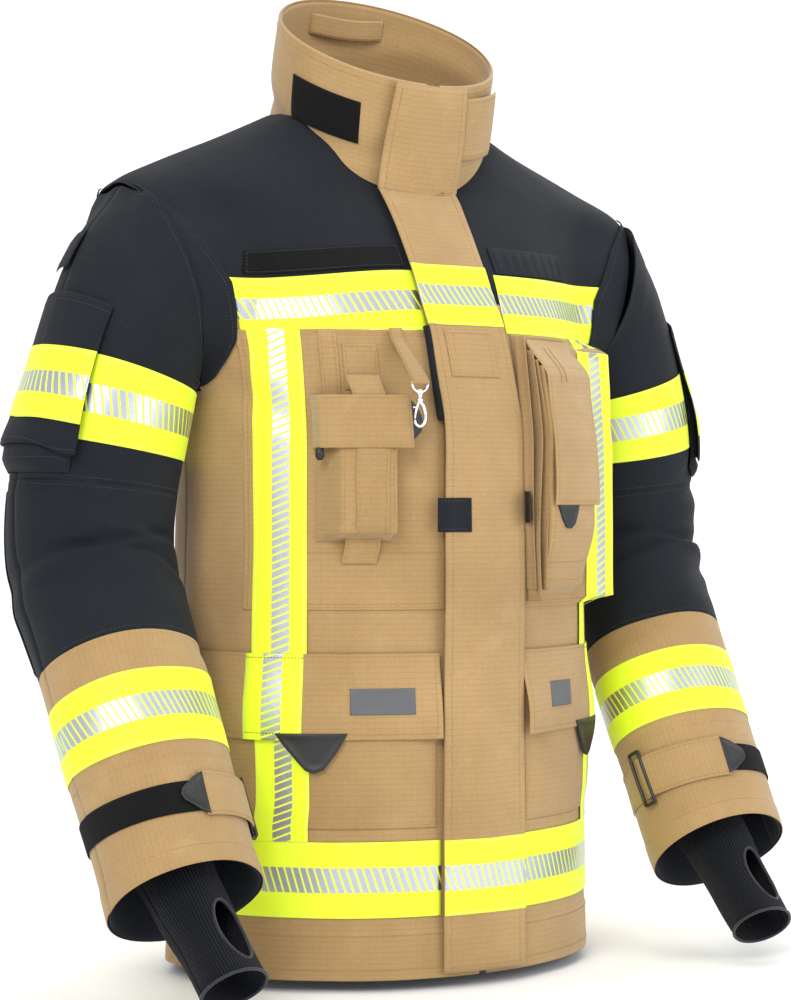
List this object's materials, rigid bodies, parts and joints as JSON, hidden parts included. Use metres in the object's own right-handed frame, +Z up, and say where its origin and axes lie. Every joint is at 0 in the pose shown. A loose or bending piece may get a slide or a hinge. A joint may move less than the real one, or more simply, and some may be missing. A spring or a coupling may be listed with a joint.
{
  "type": "firefighter turnout coat",
  "caption": "Tan and black turnout coat with reflective tapes, stand collar, storm flap, bellows pockets, strap cuffs and knit wristlets.",
  "frame": {"origin": "middle of the hem opening, at the hem's lower edge", "axes": "+Z up from hem to collar, -Y the way the wearer faces, +X to the wearer's left"},
  "size_m": [0.858, 0.4538, 1.018],
  "materials": {
    "black_aramid": "twill weave",
    "black_plastic": "satin",
    "chrome": "polished",
    "hook_and_loop": "fuzzy",
    "knit": "rib knit",
    "liner": "quilted",
    "moulded_rubber": "satin",
    "reflective_tape": "fluorescent with silver stripes",
    "tan_aramid": "ripstop weave",
    "zip_metal": "satin"
  },
  "bodies": {
    "coat": {"front_panels": "tan_aramid", "back_panel": "tan_aramid", "yoke_fronts": "black_aramid", "yoke_back": "black_aramid", "thermal_liner": "liner", "collar_shell": "tan_aramid", "collar_lining": "black_aramid", "hanger_loop": "tan_aramid", "hook_strips": "hook_and_loop", "storm_flap_upper": "tan_aramid", "flap_piping": "black_aramid", "zip_chain": "zip_metal", "chest_tape": "reflective_tape", "hem_tape": "reflective_tape", "vertical_tapes": "reflective_tape", "chest_panels": "tan_aramid", "radio_pocket": "tan_aramid", "chest_straps": "tan_aramid", "shoulder_loops": "black_aramid", "chest_pocket_left": "tan_aramid", "lower_pockets": "tan_aramid"},
    "storm_flap": {"storm_flap_lower": "tan_aramid", "flap_pull_tab": "black_aramid", "hem_tape_flap": "reflective_tape"},
    "slider_low": {"zip_slider_lower": "zip_metal"},
    "slider_high": {"zip_slider_upper": "zip_metal"},
    "throat_tab": {"throat_tab": "tan_aramid"},
    "radio_band": {"radio_band": "tan_aramid"},
    "chest_flap": {"chest_flap_left": "tan_aramid", "chest_grip_left": "moulded_rubber"},
    "ring": {"d_ring": "chrome"},
    "hook": {"snap_hook": "chrome"},
    "gate": {"hook_gate": "chrome"},
    "pocket_flap_left": {"pocket_flap_left": "tan_aramid", "pocket_grip_left": "moulded_rubber"},
    "arm_left": {"upper_sleeve_left": "black_aramid", "arm_tape_left": "reflective_tape", "sleeve_pocket_left": "black_aramid"},
    "sleeve_flap_left": {"sleeve_flap_left": "black_aramid"},
    "forearm_left": {"forearm_sleeve_left": "black_aramid", "cuff_sleeve_left": "tan_aramid", "forearm_tape_left": "reflective_tape", "cuff_band_left": "hook_and_loop", "cuff_loop_left": "black_plastic", "wristlet_left": "knit"},
    "cuff_tab_left": {"cuff_tab_left": "tan_aramid"},
    "pocket_flap_right": {"pocket_flap_right": "tan_aramid", "pocket_grip_right": "moulded_rubber"},
    "arm_right": {"upper_sleeve_right": "black_aramid", "arm_tape_right": "reflective_tape", "sleeve_pocket_right": "black_aramid"},
    "sleeve_flap_right": {"sleeve_flap_right": "black_aramid"},
    "forearm_right": {"forearm_sleeve_right": "black_aramid", "cuff_sleeve_right": "tan_aramid", "forearm_tape_right": "reflective_tape", "cuff_band_right": "hook_and_loop", "cuff_loop_right": "black_plastic", "wristlet_right": "knit"},
    "cuff_tab_right": {"cuff_tab_right": "tan_aramid"}
  },
  "joints": [
    {"name": "storm_flap_hinge", "type": "hinge", "parent": "coat", "child": "storm_flap", "pos_m": [0.0502, -0.1894, 0.25], "axis": [0, 0, 1], "range_deg": [0, 90]},
    {"name": "zip_slider_low", "type": "slide", "parent": "coat", "child": "slider_low", "axis": [0, 0, 1], "range_m": [0, 0.44]},
    {"name": "zip_slider_high", "type": "slide", "parent": "coat", "child": "slider_high", "axis": [0, 0.1961, -0.9806], "range_m": [0, 0.06]},
    {"name": "throat_tab_hinge", "type": "hinge", "parent": "coat", "child": "throat_tab", "pos_m": [0.05, -0.0825, 0.832], "axis": [0, 0.198, -0.9802], "range_deg": [0, 90]},
    {"name": "radio_band_hinge", "type": "hinge", "parent": "coat", "child": "radio_band", "pos_m": [-0.1722, -0.1318, 0.553], "axis": [0, 0, -1], "range_deg": [0, 95]},
    {"name": "chest_flap_hinge", "type": "hinge", "parent": "coat", "child": "chest_flap", "pos_m": [0.107, -0.1683, 0.6045], "axis": [-0.9262, -0.3771, 0], "range_deg": [0, 65]},
    {"name": "ring_swing", "type": "hinge", "parent": "coat", "child": "ring", "pos_m": [-0.086, -0.204, 0.59], "axis": [-1, 0, 0], "range_deg": [0, 70]},
    {"name": "hook_swivel", "type": "hinge", "parent": "ring", "child": "hook", "pos_m": [-0.086, -0.204, 0.577], "axis": [0, 0, 1], "continuous": true},
    {"name": "gate_spring", "type": "hinge", "parent": "hook", "child": "gate", "pos_m": [-0.0884, -0.204, 0.5727], "axis": [0, -1, 0], "range_deg": [0, 20], "stiffness_Nm_per_rad": 0.02},
    {"name": "shoulder_left", "type": "hinge", "parent": "coat", "child": "arm_left", "pos_m": [0.262, 0.008, 0.7], "axis": [0, -1, 0], "range_deg": [0, 60]},
    {"name": "elbow_left", "type": "hinge", "parent": "arm_left", "child": "forearm_left", "pos_m": [0.334, 0.017, 0.415], "axis": [-1, 0, 0], "range_deg": [0, 40]},
    {"name": "pocket_flap_left_hinge", "type": "hinge", "parent": "coat", "child": "pocket_flap_left", "pos_m": [0.1659, -0.1129, 0.304], "axis": [-0.6827, -0.7307, 0], "range_deg": [0, 22]},
    {"name": "sleeve_flap_left_hinge", "type": "hinge", "parent": "arm_left", "child": "sleeve_flap_left", "pos_m": [0.3736, 0.012, 0.6685], "axis": [0, -1, 0], "range_deg": [0, 75]},
    {"name": "cuff_tab_left_hinge", "type": "hinge", "parent": "forearm_left", "child": "cuff_tab_left", "pos_m": [0.24546, -0.12557, 0.16946], "axis": [-0.0223, -0.502, -0.8646], "range_deg": [0, 80]},
    {"name": "shoulder_right", "type": "hinge", "parent": "coat", "child": "arm_right", "pos_m": [-0.262, 0.008, 0.7], "axis": [0, 1, 0], "range_deg": [0, 60]},
    {"name": "elbow_right", "type": "hinge", "parent": "arm_right", "child": "forearm_right", "pos_m": [-0.334, 0.017, 0.415], "axis": [-1, 0, 0], "range_deg": [0, 40]},
    {"name": "pocket_flap_right_hinge", "type": "hinge", "parent": "coat", "child": "pocket_flap_right", "pos_m": [-0.1659, -0.1129, 0.304], "axis": [-0.6827, 0.7307, 0], "range_deg": [0, 22]},
    {"name": "sleeve_flap_right_hinge", "type": "hinge", "parent": "arm_right", "child": "sleeve_flap_right", "pos_m": [-0.3736, 0.012, 0.6685], "axis": [0, 1, 0], "range_deg": [0, 75]},
    {"name": "cuff_tab_right_hinge", "type": "hinge", "parent": "forearm_right", "child": "cuff_tab_right", "pos_m": [-0.24546, -0.12557, 0.16946], "axis": [-0.0223, 0.502, 0.8646], "range_deg": [0, 80]}
  ]
}
